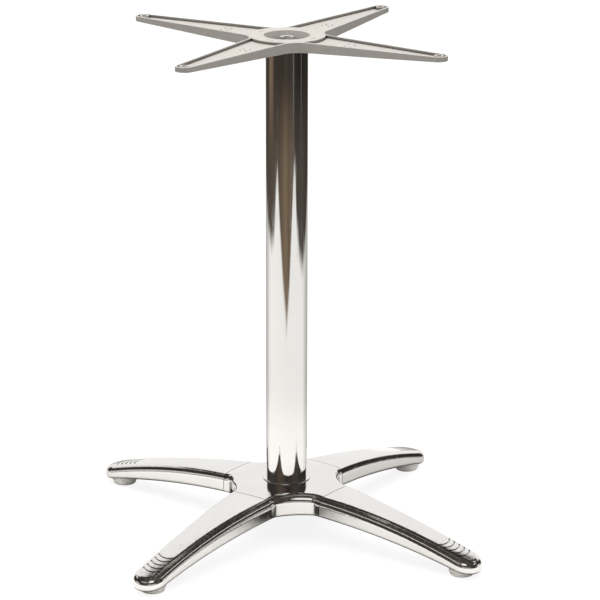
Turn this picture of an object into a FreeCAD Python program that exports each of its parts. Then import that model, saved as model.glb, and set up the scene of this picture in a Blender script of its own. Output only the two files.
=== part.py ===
import FreeCAD, Part
import Sketcher
import math
import os

# Four star pedestal for a dining table: a cast spider that carries the table top, a round
# column, and a cast hub with four bolted legs that stand on levelling feet.
# Millimetres. +Z is up, the floor is z = 0 and the column stands on the Z axis.

doc = FreeCAD.newDocument("four_star_table_base")
dims = doc.addObject("Spreadsheet::Sheet", "Dims")
worked = doc.addObject("Spreadsheet::Sheet", "Worked")

DRIVING = {
    # whole stand
    "total_height": 730.0,
    "first_leg_angle": -45.0,
    "spider_turn": 3.3,
    "cut_margin": 1.0,
    # column and the rod that clamps the stand together
    "column_radius": 30.0,
    "column_wall": 2.0,
    "spigot_clearance": 0.2,
    "spigot_length": 9.0,
    "rod_radius": 6.0,
    "rod_clearance": 0.5,
    "rod_end_below_top": 1.0,
    "rod_end_past_nut": 2.0,
    "rod_point": 1.0,
    "nut_across_flats": 19.0,
    "nut_height": 6.5,
    "washer_radius": 15.0,
    "washer_thickness": 2.5,
    "thread_clearance": 0.05,
    # hub
    "hub_top": 76.0,
    "hub_depth": 32.0,
    "hub_wall": 6.0,
    "hub_roof": 8.0,
    "hub_dome_run": 31.0,
    "hub_dome_radius": 200.0,
    "hub_valley_inset": 9.0,
    "hub_valley_bend": 90.0,
    "hub_corner_bend": 13.0,
    "hub_lip_round": 4.5,
    "hub_boss_radius": 24.0,
    "hub_boss_recess": 14.0,
    "hub_end_wall": 8.0,
    "hub_rib_thickness": 5.0,
    "seat_ring_radius": 34.2,
    "seat_ring_height": 1.4,
    "seat_ring_round": 1.1,
    "seam_radius": 86.0,
    "seam_gap": 0.9,
    "edge_round": 12.5,
    # leg
    "leg_root_half_width": 38.0,
    "leg_tip_radius": 24.6,
    "leg_tip_centre": 312.4,
    "leg_tip_top": 24.0,
    "leg_crest_radius": 1250.0,
    "leg_crown_radius": 560.0,
    "leg_root_underside": 43.5,
    "leg_tip_underside": 5.0,
    "leg_root_lip": 13.0,
    "leg_tip_lip": 5.5,
    "leg_belly_radius": 1875.0,
    "leg_root_wall": 9.0,
    "leg_wall": 4.0,
    "leg_end_wall": 16.0,
    "leg_seat_margin": 7.0,
    "leg_rib_thickness": 4.0,
    "grip_count": 5.0,
    "grip_first": 276.0,
    "grip_pitch": 8.4,
    "grip_bend_radius": 21.0,
    "grip_half_angle": 43.0,
    "grip_width": 2.2,
    "grip_depth": 1.1,
    # leg screws
    "screw_radius": 4.0,
    "screw_clearance": 0.4,
    "screw_spacing": 34.0,
    "screw_height": 59.0,
    "screw_reach": 13.0,
    "screw_head_flats": 13.0,
    "screw_head_height": 5.3,
    "screw_washer_radius": 8.0,
    "screw_washer_thickness": 1.6,
    # levelling feet
    "foot_centre": 307.6,
    "foot_top_radius": 18.5,
    "foot_floor_radius": 16.5,
    "foot_height": 14.0,
    "foot_collar": 8.0,
    "foot_round": 1.2,
    "foot_floor_bend": 1.8,
    "foot_gap": 0.3,
    "stem_radius": 4.0,
    "stem_rise": 14.6,
    "stem_socket": 6.0,
    "stem_end_gap": 0.6,
    "stem_point": 1.0,
    "foot_boss_radius": 9.0,
    # spider
    "spider_hub_depth": 15.0,
    "spider_tip_depth": 6.8,
    "arm_tip_centre": 246.0,
    "arm_tip_radius": 12.2,
    "arm_taper": 5.5,
    "arm_valley_round": 27.0,
    "spider_flat_radius": 45.0,
    "spider_edge_round": 0.8,
    "arm_rim": 3.0,
    "channel_depth": 3.6,
    "plateau_radius": 54.0,
    "recess_radius": 32.4,
    "recess_depth": 11.0,
    "recess_floor_radius": 29.0,
    "table_hole_radius": 3.5,
    "table_boss_radius": 6.6,
    "pilot_radius": 1.6,
    "pilot_depth": 2.5,
    "pilot_place": 103.0,
    "pilot_spread": 5.0,
    "hub_pilot_radius": 1.1,
    "hub_pilot_place": 43.0,
    "hub_pilot_pitch": 4.0,
}

# Sizes that follow from the ones above.
WORKED = {
    "column_seat": "Dims.hub_top + Dims.seat_ring_height",
    "spider_seat": "Dims.total_height - Dims.spider_hub_depth",
    "tube_bore": "Dims.column_radius - Dims.column_wall",
    "spigot_radius": "tube_bore - Dims.spigot_clearance",
    "hub_bottom": "Dims.hub_top - Dims.hub_depth",
    "boss_bottom": "hub_bottom + Dims.hub_boss_recess",
    "recess_floor": "Dims.total_height - Dims.recess_depth",
    "nut_bottom": "boss_bottom - Dims.washer_thickness - Dims.nut_height",
    "hub_flat_radius": "Dims.seam_radius - Dims.hub_dome_run",
    "hub_valley_radius": "Dims.seam_radius - Dims.hub_valley_inset",
    "valley_middle": "(hub_valley_radius + Dims.hub_valley_bend) * cos(45)",
    "corner_up": "Dims.leg_root_half_width + Dims.hub_corner_bend",
    "corner_reach": "Dims.hub_valley_bend - Dims.hub_corner_bend",
    "corner_across": "valley_middle"
                     " - sqrt(corner_reach^2 - (valley_middle - corner_up)^2)",
    "corner_end_across": "valley_middle - (valley_middle - corner_across)"
                         " * Dims.hub_valley_bend / corner_reach",
    "corner_end_up": "valley_middle - (valley_middle - corner_up)"
                     " * Dims.hub_valley_bend / corner_reach",
    "leg_root_top": "Dims.hub_top - Dims.hub_dome_radius"
                    " + sqrt(Dims.hub_dome_radius^2 - Dims.hub_dome_run^2)",
    "leg_start": "Dims.seam_radius + Dims.seam_gap",
    "leg_nose": "Dims.leg_tip_centre + Dims.leg_tip_radius",
    "side_run": "Dims.leg_tip_centre - leg_start",
    "side_rise": "Dims.leg_root_half_width - Dims.leg_tip_radius",
    "side_radius": "(side_run^2 + side_rise^2) / (2 * side_rise)",
    "crest_run": "leg_nose - Dims.seam_radius",
    "crest_fall": "leg_root_top - Dims.leg_tip_top",
    "crest_chord": "sqrt(crest_run^2 + crest_fall^2)",
    "crest_stand": "sqrt(Dims.leg_crest_radius^2 - crest_chord^2 / 4)",
    "crest_x": "(leg_nose + Dims.seam_radius) / 2 - crest_stand * crest_fall / crest_chord",
    "crest_z": "(leg_root_top + Dims.leg_tip_top) / 2 - crest_stand * crest_run / crest_chord",
    "foot_thread_top": "Dims.foot_height + Dims.stem_rise",
    "crest_top": "crest_z + Dims.leg_crest_radius",
    "core_start": "leg_start + Dims.leg_end_wall",
    "core_run": "Dims.leg_tip_centre - core_start",
    "core_root": "Dims.leg_tip_radius + side_radius - sqrt(side_radius^2 - core_run^2)"
                 " - Dims.leg_root_wall",
    "core_tip": "Dims.leg_tip_radius - Dims.leg_wall",
    "core_bend": "(core_run^2 + (core_root - core_tip)^2) / (2 * (core_root - core_tip))",
    "screw_face": "Dims.seam_radius - Dims.hub_end_wall",
    "spider_reach": "Dims.arm_tip_centre + Dims.arm_tip_radius",
    "arm_line": "Dims.arm_tip_centre * sin(Dims.arm_taper) + Dims.arm_tip_radius",
    "valley_centre": "(arm_line + Dims.arm_valley_round)"
                     " / (sin(Dims.arm_taper) + cos(Dims.arm_taper))",
}


def fill_sheet(sheet, values, formula):
    """Write one row per size: its name, its value or formula, and the alias to use it by."""
    for row, (name, value) in enumerate(values.items(), start=1):
        sheet.set(f"A{row}", name)
        sheet.set(f"B{row}", f"={value}" if formula else str(value))
        sheet.setAlias(f"B{row}", name)
    doc.recompute()


fill_sheet(dims, DRIVING, False)
fill_sheet(worked, WORKED, True)


def size(expression):
    """The number that an expression in the sheets' names stands for."""
    result = dims.evalExpression(expression)
    return float(getattr(result, "Value", result))


def new_body(name):
    body = doc.addObject("PartDesign::Body", name)
    body.Label = name
    return body


def new_sketch(body, name, role, offset="0"):
    """An empty sketch on one of the body's own origin planes, moved along its normal."""
    sketch = body.newObject("Sketcher::SketchObject", name)
    plane = [item for item in body.Origin.OriginFeatures if item.Role == role][0]
    sketch.AttachmentSupport = [(plane, "")]
    sketch.MapMode = "FlatFace"
    sketch.setExpression("AttachmentOffset.Base.z", offset)
    return sketch


def pin_point(sketch, edge, end, across, up):
    """Tie an edge's end to its place in the sketch by two expressions."""
    for kind, axis, expression in (("DistanceX", -2, across), ("DistanceY", -1, up)):
        value = size(expression)
        if abs(value) < 1e-9:
            sketch.addConstraint(Sketcher.Constraint("PointOnObject", edge, end, axis))
            continue
        index = sketch.addConstraint(Sketcher.Constraint(kind, -1, 1, edge, end, value))
        sketch.setExpression(f"Constraints[{index}]", expression)


def draw_outline(sketch, corners, bends):
    """A closed outline through corners. bends gives, for the side that leaves a corner,
    its radius and which way it bulges: +1 to the right of the way walked, -1 to the left."""
    places = [FreeCAD.Vector(size(across), size(up), 0) for across, up in corners]
    count = len(corners)
    ends = []
    for index, start in enumerate(places):
        finish = places[(index + 1) % count]
        if index not in bends:
            edge = sketch.addGeometry(Part.LineSegment(start, finish), False)
            ends.append((edge, 1, 2))
            continue
        radius, side = bends[index]
        chord = finish - start
        half = chord.Length / 2
        bow = size(radius) - math.sqrt(max(size(radius) ** 2 - half ** 2, 0.0))
        outward = FreeCAD.Vector(chord.y, -chord.x, 0).normalize()
        middle = (start + finish) * 0.5 + outward * (bow * side)
        edge = sketch.addGeometry(Part.Arc(start, middle, finish), False)
        straight = (sketch.getPoint(edge, 1) - start).Length < 1e-6
        ends.append((edge, 1, 2) if straight else (edge, 2, 1))
    for index, (across, up) in enumerate(corners):
        edge, first, last = ends[index]
        before, before_first, before_last = ends[index - 1]
        sketch.addConstraint(Sketcher.Constraint("Coincident", before, before_last, edge, first))
        pin_point(sketch, edge, first, across, up)
    for index, (radius, side) in bends.items():
        edge = ends[index][0]
        rule = sketch.addConstraint(Sketcher.Constraint("Radius", edge, size(radius)))
        sketch.setExpression(f"Constraints[{rule}]", radius)
    return sketch


def draw_circle(sketch, radius, across="0", up="0"):
    centre = FreeCAD.Vector(size(across), size(up), 0)
    circle = Part.Circle(centre, FreeCAD.Vector(0, 0, 1), size(radius))
    edge = sketch.addGeometry(circle, False)
    pin_point(sketch, edge, 3, across, up)
    rule = sketch.addConstraint(Sketcher.Constraint("Radius", edge, size(radius)))
    sketch.setExpression(f"Constraints[{rule}]", radius)
    return sketch


def rectangle(left, bottom, right, top):
    return [(left, bottom), (right, bottom), (right, top), (left, top)]


def pad(body, sketch, name, length):
    feature = body.newObject("PartDesign::Pad", name)
    feature.Profile = sketch
    feature.setExpression("Length", length)
    sketch.Visibility = False
    doc.recompute()
    return feature


def pocket(body, sketch, name, length=None, upward=False, both=False):
    """Cut the sketch out of the body: down its normal, up it, or through all both ways."""
    before = body.Shape.Volume
    feature = body.newObject("PartDesign::Pocket", name)
    feature.Profile = sketch
    if length is None:
        feature.Type = "ThroughAll"
    else:
        feature.setExpression("Length", length)
    feature.Reversed = upward
    feature.Midplane = both
    doc.recompute()
    if body.Shape.Volume >= before:
        raise RuntimeError(f"{body.Label}.{name} cuts nothing")
    return feature


def turn_round(body, sketch, name, kind, axis, angle=360.0, both=False):
    """Add or cut the solid that the sketch sweeps when it turns about an axis."""
    feature = body.newObject(f"PartDesign::{kind}", name)
    feature.Profile = sketch
    feature.ReferenceAxis = (sketch, [axis])
    feature.Angle = angle
    feature.Midplane = both
    doc.recompute()
    return feature


def round_edges(body, name, base, radius, wanted):
    """Round the edges of a feature that the test picks out."""
    names = []
    for index, edge in enumerate(base.Shape.Edges, start=1):
        if wanted(edge):
            names.append(f"Edge{index}")
    if not names:
        raise RuntimeError(f"{body.Label}.{name} finds no edge")
    feature = body.newObject("PartDesign::Fillet", name)
    feature.Base = (base, names)
    feature.setExpression("Radius", radius)
    doc.recompute()
    return feature


def repeat_round(body, name, feature, count):
    """Repeat a feature evenly about the body's upright axis."""
    pattern = body.newObject("PartDesign::PolarPattern", name)
    pattern.Originals = [feature]
    upright = [item for item in body.Origin.OriginFeatures if item.Role == "Z_Axis"][0]
    pattern.Axis = (upright, [""])
    pattern.Angle = 360.0
    pattern.Occurrences = count
    body.Tip = pattern
    doc.recompute()
    return pattern


def place(solid, across, depth, up, lean=None):
    """Put a plain solid at a place given by expressions, leaning about a named axis."""
    if lean is not None:
        solid.Placement = FreeCAD.Placement(FreeCAD.Vector(), FreeCAD.Rotation(lean, 90))
    solid.setExpression("Placement.Base.x", across)
    solid.setExpression("Placement.Base.y", depth)
    solid.setExpression("Placement.Base.z", up)
    return solid


def cylinder(name, radius, length, across="0", depth="0", up="0", lean=None):
    solid = doc.addObject("Part::Cylinder", name)
    solid.setExpression("Radius", radius)
    solid.setExpression("Height", length)
    return place(solid, across, depth, up, lean)


def cone(name, low, high, length, across="0", depth="0", up="0", lean=None):
    solid = doc.addObject("Part::Cone", name)
    solid.setExpression("Radius1", low)
    solid.setExpression("Radius2", high)
    solid.setExpression("Height", length)
    return place(solid, across, depth, up, lean)


def hexagon(name, flats, length, across="0", depth="0", up="0", lean=None):
    solid = doc.addObject("Part::Prism", name)
    solid.Polygon = 6
    solid.setExpression("Circumradius", f"({flats}) / 2 / cos(30)")
    solid.setExpression("Height", length)
    return place(solid, across, depth, up, lean)


def cut(name, base, tool):
    solid = doc.addObject("Part::Cut", name)
    solid.Base = base
    solid.Tool = tool
    return solid


def fuse(name, pieces):
    solid = doc.addObject("Part::MultiFuse", name)
    solid.Shapes = pieces
    return solid


def common(name, pieces):
    solid = doc.addObject("Part::MultiCommon", name)
    solid.Shapes = pieces
    return solid


def ring(name, outer, inner, length, across="0", depth="0", up="0", lean=None):
    """A washer or a tube."""
    wall = cylinder(name + "_outer", outer, length, across, depth, up, lean)
    bore = cylinder(name + "_bore", inner, length, across, depth, up, lean)
    return cut(name, wall, bore)


def nut(name, up):
    """A hexagon nut with its corners turned off at both faces, bored for the rod's thread."""
    blank = hexagon(name + "_blank", "Dims.nut_across_flats", "Dims.nut_height", up=up)
    inner = "Dims.nut_across_flats / 2"
    outer = "Dims.nut_across_flats / 2 + Dims.nut_height"
    upper = cone(name + "_upper", outer, inner, "Dims.nut_height", up=up)
    lower = cone(name + "_lower", inner, outer, "Dims.nut_height", up=up)
    shaped = common(name + "_shaped", [blank, upper, lower])
    bore = cylinder(name + "_bore", "Dims.rod_radius + Dims.thread_clearance", "Dims.nut_height",
                    up=up)
    return cut(name, shaped, bore)


# Hub: a four-lobed casting, open underneath, that carries the column on a raised ring.
# It is drawn with its lobes along X and Y and then turned to the legs.

LOBES = 4
LOBE_STEP = 360.0 / LOBES
SWEEP_ANGLE = 60.0
TINY = 0.01


def turned(across, up, angle):
    """A point of a sketch turned about the origin, as a pair of expressions."""
    return (f"({across}) * cos({angle}) - ({up}) * sin({angle})",
            f"({across}) * sin({angle}) + ({up}) * cos({angle})")


def lobed_outline(sketch, reach, half, valley):
    """Four lobes with flat ends, joined by hollow sides that come in to the valley radius."""
    rise = f"((({reach}) + ({half})) * cos(45) - ({valley}))"
    run = f"((({reach}) - ({half})) * cos(45))"
    bend = (f"({run}^2 + {rise}^2) / (2 * {rise})", -1)
    corners = []
    bends = {}
    for lobe in range(LOBES):
        corners.append(turned(reach, f"-({half})", lobe * LOBE_STEP))
        corners.append(turned(reach, half, lobe * LOBE_STEP))
        bends[2 * lobe + 1] = bend
    return draw_outline(sketch, corners, bends)


def hub_outline(sketch):
    """Four lobes whose flanks run straight in from the seam and turn into a hollow valley."""
    half = "Dims.leg_root_half_width"
    flank = ("Worked.corner_across", half)
    bend = ("Worked.corner_end_across", "Worked.corner_end_up")
    corners = []
    bends = {}
    for lobe in range(LOBES):
        side = [("Dims.seam_radius", f"-{half}"), ("Dims.seam_radius", half), flank, bend,
                bend[::-1], flank[::-1]]
        start = len(corners)
        corners.extend(turned(*point, lobe * LOBE_STEP) for point in side)
        bends[start + 2] = ("Dims.hub_corner_bend", -1)
        bends[start + 3] = ("Dims.hub_valley_bend", -1)
        bends[start + 4] = ("Dims.hub_corner_bend", -1)
    return draw_outline(sketch, corners, bends)


def make_hub():
    body = new_body("hub")
    outline = new_sketch(body, "hub_outline", "XY_Plane", "Worked.hub_bottom")
    hub_outline(outline)
    pad(body, outline, "hub_block", "Dims.hub_depth")

    # the roof is flat round the column and falls away in an arc towards each seam
    roof = new_sketch(body, "hub_roof_line", "XZ_Plane")
    reach = "(Dims.seam_radius + Dims.leg_root_half_width)"
    fall = (f"Dims.hub_top - Dims.hub_dome_radius + sqrt(Dims.hub_dome_radius^2"
            f" - ({reach} - Worked.hub_flat_radius)^2)")
    above = "Dims.hub_top + Dims.cut_margin"
    corners = [("Worked.hub_flat_radius", "Dims.hub_top"), (reach, fall),
               (reach, above), ("Worked.hub_flat_radius", above)]
    draw_outline(roof, corners, {0: ("Dims.hub_dome_radius", -1)})
    domed = turn_round(body, roof, "hub_dome", "Groove", "V_Axis")
    half_way = size("Dims.hub_top - Dims.hub_depth / 2")

    def on_rim(edge):
        """True for an edge of the outline between two seams, upper or lower."""
        middle = edge.valueAt((edge.FirstParameter + edge.LastParameter) / 2)
        level = edge.BoundBox.ZLength < size("Dims.hub_roof")
        between = max(abs(middle.x), abs(middle.y)) < size("Dims.seam_radius - Dims.cut_margin")
        past_flat = math.hypot(middle.x, middle.y) > size("Worked.hub_flat_radius + Dims.cut_margin")
        return level and between and past_flat

    rounded = round_edges(body, "hub_edge_round", domed, "Dims.edge_round",
                          lambda edge: on_rim(edge) and edge.BoundBox.ZMin > half_way)
    round_edges(body, "hub_lip_round", rounded, "Dims.hub_lip_round",
                lambda edge: on_rim(edge) and edge.BoundBox.ZMax < size("Worked.hub_bottom") + TINY)

    # hollow from below, round a middle boss that takes the rod
    hollow = new_sketch(body, "hub_hollow_outline", "XY_Plane", "Worked.hub_bottom")
    lobed_outline(hollow, "Worked.screw_face", "Dims.leg_root_half_width - Dims.hub_wall",
                  "Worked.hub_valley_radius - Dims.hub_wall")
    draw_circle(hollow, "Dims.hub_boss_radius")
    pocket(body, hollow, "hub_hollow", "Dims.hub_depth - Dims.hub_roof", upward=True)
    face = new_sketch(body, "hub_boss_face", "XY_Plane", "Worked.hub_bottom")
    draw_circle(face, "Dims.hub_boss_radius")
    pocket(body, face, "hub_boss_trim", "Dims.hub_boss_recess", upward=True)

    # a rib under the roof carries the boss out to the end wall of each lobe
    rib = new_sketch(body, "hub_rib_plan", "XY_Plane", "Worked.boss_bottom")
    half = "Dims.hub_rib_thickness / 2"
    draw_outline(rib, rectangle("Dims.hub_boss_radius - Dims.cut_margin", f"-{half}",
                                "Worked.screw_face + Dims.cut_margin", half), {})
    first_rib = pad(body, rib, "hub_rib",
                    "Dims.hub_top - Dims.hub_roof + Dims.cut_margin - Worked.boss_bottom")
    repeat_round(body, "hub_ribs", first_rib, LOBES)

    # raised ring under the column, and a spigot inside it
    seat = new_sketch(body, "hub_seat_plan", "XY_Plane", "Dims.hub_top")
    draw_circle(seat, "Dims.seat_ring_radius")
    ring_pad = pad(body, seat, "hub_seat", "Dims.seat_ring_height")

    def ring_edge(edge):
        flat = edge.BoundBox.ZLength < TINY
        high = abs(edge.BoundBox.ZMin - size("Worked.column_seat")) < TINY
        return flat and high and edge.BoundBox.XLength > size("Dims.seat_ring_radius")

    round_edges(body, "hub_seat_round", ring_pad, "Dims.seat_ring_round", ring_edge)
    spigot = new_sketch(body, "hub_spigot_plan", "XY_Plane", "Dims.hub_top")
    draw_circle(spigot, "Worked.spigot_radius")
    pad(body, spigot, "hub_spigot", "Dims.seat_ring_height + Dims.spigot_length")
    bore = new_sketch(body, "hub_bore_plan", "XY_Plane", "Dims.hub_top")
    draw_circle(bore, "Dims.rod_radius + Dims.rod_clearance")
    pocket(body, bore, "hub_bore", both=True)

    # two screw holes through the end wall of each lobe
    holes = new_sketch(body, "hub_screw_plan", "YZ_Plane", "Dims.seam_radius")
    for side in ("-", ""):
        draw_circle(holes, "Dims.screw_radius + Dims.screw_clearance",
                    f"{side}Dims.screw_spacing / 2", "Dims.screw_height")
    bores = pocket(body, holes, "hub_screw_bores", "Dims.hub_end_wall + Dims.cut_margin")
    repeat_round(body, "hub_screw_circle", bores, LOBES)
    body.Placement = turn(size("Dims.first_leg_angle"))
    return body


def turn(angle):
    """Turned about the upright axis by an angle in degrees."""
    return FreeCAD.Placement(FreeCAD.Vector(), FreeCAD.Rotation(FreeCAD.Vector(0, 0, 1), angle))


# Leg: a tapering casting, open underneath. It is drawn along X and then turned to its place.

def leg_outline(sketch, start, root, tip, bend):
    """A round tip whose sides widen in hollow arcs to a square root of that half width."""
    corners = [(start, f"-{root}"), ("Dims.leg_tip_centre", f"-{tip}"),
               (f"Dims.leg_tip_centre + {tip}", "0"), ("Dims.leg_tip_centre", tip), (start, root)]
    return draw_outline(sketch, corners, {0: (bend, -1), 1: (tip, 1), 2: (tip, 1), 3: (bend, -1)})


def crown_cut(body, name, inset, above):
    """Cut away what lies above (or below) the leg's crowned top, which is an arc across the
    leg swept along the long arc of the leg's crest."""
    sketch = new_sketch(body, name + "_line", "YZ_Plane", "Worked.crest_x")
    span = "(Dims.leg_root_half_width + Dims.leg_wall)"
    crown = f"(Dims.leg_crown_radius - {inset})"
    top = f"(Worked.crest_top - {inset})"
    edge = f"{top} - {crown} + sqrt({crown}^2 - {span}^2)"
    far = f"{top} + Worked.leg_root_top" if above else f"{top} - Worked.leg_root_top"
    corners = [(f"-{span}", edge), (span, edge), (span, far), (f"-{span}", far)]
    draw_outline(sketch, corners, {0: (crown, -1)})
    centre = size("Worked.crest_z")
    line = Part.LineSegment(FreeCAD.Vector(0, centre, 0),
                            FreeCAD.Vector(size("Dims.leg_wall"), centre, 0))
    axis = sketch.addGeometry(line, True)
    pin_point(sketch, axis, 1, "0", "Worked.crest_z")
    pin_point(sketch, axis, 2, "Dims.leg_wall", "Worked.crest_z")
    return turn_round(body, sketch, name, "Groove", "Axis0", SWEEP_ANGLE, both=True)


def leg_blank(name, outline, inset, floor):
    """The leg's outer form, or the hollow inside it when there is an inset."""
    body = new_body(name)
    plan = new_sketch(body, name + "_plan", "XY_Plane", floor)
    leg_outline(plan, *outline)
    pad(body, plan, name + "_block", f"Worked.leg_root_top + Dims.cut_margin - ({floor})")
    crowned = crown_cut(body, name + "_crown", inset, True)

    def top_edge(edge):
        box = edge.BoundBox
        raised = box.ZMin > size(f"{floor} + Dims.cut_margin")
        return raised and box.XLength > size("Dims.edge_round")

    round_edges(body, name + "_edge_round", crowned, f"Dims.edge_round - {inset}", top_edge)
    return body


def leg_core(name):
    """The hollow under the leg, with the foot boss and the long rib left standing in it."""
    outline = ("Worked.core_start", "Worked.core_root", "Worked.core_tip", "Worked.core_bend")
    body = leg_blank(name, outline, "Dims.leg_wall", "-Dims.cut_margin")
    boss = new_sketch(body, name + "_boss", "XY_Plane", "Dims.foot_height + Dims.foot_gap")
    draw_circle(boss, "Dims.foot_boss_radius", "Dims.foot_centre")
    pocket(body, boss, name + "_boss_room", "Worked.leg_root_top", upward=True)
    rib = new_sketch(body, name + "_rib", "XY_Plane", "-Dims.cut_margin")
    half = "Dims.leg_rib_thickness / 2"
    draw_outline(rib, rectangle("Worked.core_start - Dims.cut_margin", f"-{half}",
                                "Dims.foot_centre - Dims.foot_top_radius - Dims.leg_wall", half), {})
    pocket(body, rib, name + "_rib_room", "Worked.leg_root_top + Dims.cut_margin", upward=True)
    return body


def grip_cutter(name):
    """Thin curved bars that cut the grip grooves across the top near the tip."""
    body = new_body(name)
    plan = new_sketch(body, name + "_plan", "XY_Plane")
    inner = "(Dims.grip_bend_radius - Dims.grip_width / 2)"
    outer = "(Dims.grip_bend_radius + Dims.grip_width / 2)"
    for step in range(int(size("Dims.grip_count"))):
        centre = (f"(Dims.grip_first + {step} * Dims.grip_pitch"
                  f" - Dims.grip_bend_radius * cos(Dims.grip_half_angle))")
        corners = []
        for radius, side in ((inner, "-"), (outer, "-"), (outer, ""), (inner, "")):
            corners.append((f"{centre} + {radius} * cos(Dims.grip_half_angle)",
                            f"{side}{radius} * sin(Dims.grip_half_angle)"))
        draw_outline(plan, corners, {1: (outer, 1), 3: (inner, -1)})
    pad(body, plan, name + "_bars", "Worked.leg_root_top")
    crown_cut(body, name + "_floor", "Dims.grip_depth", False)
    return body


def cut_away(body, name, tool):
    before = body.Shape.Volume
    feature = body.newObject("PartDesign::Boolean", name)
    feature.Type = "Cut"
    feature.setObjects([tool])
    doc.recompute()
    if body.Shape.Volume >= before:
        raise RuntimeError(f"{body.Label}.{name} cuts nothing")
    return feature


def leg_form(name):
    """The leg's outer form with its arched belly, before anything is hollowed or drilled."""
    outline = ("Worked.leg_start", "Dims.leg_root_half_width", "Dims.leg_tip_radius",
               "Worked.side_radius")
    body = leg_blank(name, outline, "0", "0")
    belly = new_sketch(body, name + "_belly_line", "XZ_Plane")
    past_nose = "Worked.leg_nose + Dims.cut_margin"
    past_root = "Worked.leg_start - Dims.cut_margin"
    corners = [("Worked.leg_start", "Dims.leg_root_underside"),
               ("Worked.leg_nose", "Dims.leg_tip_underside"),
               (past_nose, "Dims.leg_tip_underside"), (past_nose, "-Dims.cut_margin"),
               (past_root, "-Dims.cut_margin"), (past_root, "Dims.leg_root_underside")]
    draw_outline(belly, corners, {0: ("Dims.leg_belly_radius", -1)})
    pocket(body, belly, name + "_belly", both=True)
    return body


def round_lips(name, form):
    """Round the belly's long edges, more at the root than round the tip."""
    wide = [face for face in form.Shape.Faces
            if face.BoundBox.YLength > size("Dims.leg_root_half_width")]
    underside = min(wide, key=lambda face: face.CenterOfMass.z)

    def lip_at(vertex):
        root = vertex.X < size("Worked.core_start")
        return size("Dims.leg_root_lip") if root else size("Dims.leg_tip_lip")

    lips = []
    for index, edge in enumerate(form.Shape.Edges, start=1):
        if edge.BoundBox.XLength < size("Dims.leg_tip_lip"):
            continue
        if any(edge.isSame(other) for other in underside.Edges):
            first, last = edge.firstVertex(True), edge.lastVertex(True)
            lips.append((index, lip_at(first), lip_at(last)))
    rounded = doc.addObject("Part::Fillet", name)
    rounded.Base = form
    rounded.Edges = lips
    doc.recompute()
    return rounded


def make_leg(name, angle):
    body = new_body(name)
    body.BaseFeature = round_lips(name + "_lips", leg_form(name + "_form"))
    doc.recompute()
    cut_away(body, name + "_hollow", leg_core(name + "_core"))
    cut_away(body, name + "_grips", grip_cutter(name + "_grip"))

    # a raised land on the end wall meets the hub, so that a fine gap shows round the seam
    land = new_sketch(body, name + "_land", "YZ_Plane", "Dims.seam_radius")
    half = "(Dims.leg_root_half_width - Dims.leg_seat_margin)"
    draw_outline(land, rectangle(f"-{half}", "Dims.leg_root_underside + Dims.leg_seat_margin", half,
                                 "Worked.leg_root_top - Dims.leg_seat_margin"), {})
    pad(body, land, name + "_seat", "Dims.seam_gap + Dims.cut_margin")
    holes = new_sketch(body, name + "_screw_plan", "YZ_Plane", "Dims.seam_radius")
    for side in ("-", ""):
        draw_circle(holes, "Dims.screw_radius + Dims.thread_clearance",
                    f"{side}Dims.screw_spacing / 2", "Dims.screw_height")
    pocket(body, holes, name + "_screw_bores", "Dims.screw_reach + Dims.stem_end_gap", upward=True)
    socket = new_sketch(body, name + "_foot_plan", "XY_Plane")
    draw_circle(socket, "Dims.stem_radius + Dims.thread_clearance", "Dims.foot_centre")
    pocket(body, socket, name + "_foot_thread", "Worked.foot_thread_top + Dims.stem_end_gap",
           upward=True)
    body.Placement = turn(angle)
    return body


def make_screw(name, angle, side):
    """A hexagon screw that holds a leg to the hub from inside."""
    lean = FreeCAD.Vector(0, 1, 0)
    across = f"{side} * Dims.screw_spacing / 2"
    under_head = "Worked.screw_face - Dims.screw_washer_thickness"
    head = hexagon(name + "_head", "Dims.screw_head_flats", "Dims.screw_head_height",
                   f"{under_head} - Dims.screw_head_height", across, "Dims.screw_height", lean)
    shank = cylinder(name + "_shank", "Dims.screw_radius",
                     "Dims.screw_washer_thickness + Dims.hub_end_wall + Dims.screw_reach",
                     under_head, across, "Dims.screw_height", lean)
    whole = fuse(name, [head, shank])
    whole.Placement = turn(angle)
    return whole


def make_screw_washer(name, angle, side):
    lean = FreeCAD.Vector(0, 1, 0)
    across = f"{side} * Dims.screw_spacing / 2"
    whole = ring(name, "Dims.screw_washer_radius", "Dims.screw_radius + Dims.screw_clearance",
                 "Dims.screw_washer_thickness", "Worked.screw_face - Dims.screw_washer_thickness",
                 across, "Dims.screw_height", lean)
    whole.Placement = turn(angle)
    return whole


# Levelling foot: a moulded pad with a threaded stem that screws into the leg's tip.

def make_foot_pad(name, angle):
    body = new_body(name)
    section = new_sketch(body, name + "_section", "XZ_Plane")
    neck = "Dims.foot_height - Dims.foot_collar"
    corners = [("0", "0"), ("Dims.foot_floor_radius - Dims.foot_round", "0"),
               ("Dims.foot_floor_radius", "Dims.foot_round"), ("Dims.foot_top_radius", neck),
               ("Dims.foot_top_radius", "Dims.foot_height - Dims.foot_round"),
               ("Dims.foot_top_radius - Dims.foot_round", "Dims.foot_height"),
               ("Dims.stem_radius + Dims.thread_clearance", "Dims.foot_height"),
               ("Dims.stem_radius + Dims.thread_clearance", "Dims.foot_height - Dims.stem_socket"),
               ("0", "Dims.foot_height - Dims.stem_socket")]
    draw_outline(section, corners, {1: ("Dims.foot_floor_bend", 1), 4: ("Dims.foot_round", 1)})
    turn_round(body, section, name + "_turned", "Revolution", "V_Axis")
    body.Placement = seat_foot(angle)
    return body


def seat_foot(angle):
    """The place of a foot's axis under the leg at that angle."""
    return turn(angle).multiply(FreeCAD.Placement(
        FreeCAD.Vector(size("Dims.foot_centre"), 0, 0), FreeCAD.Rotation()))


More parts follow.
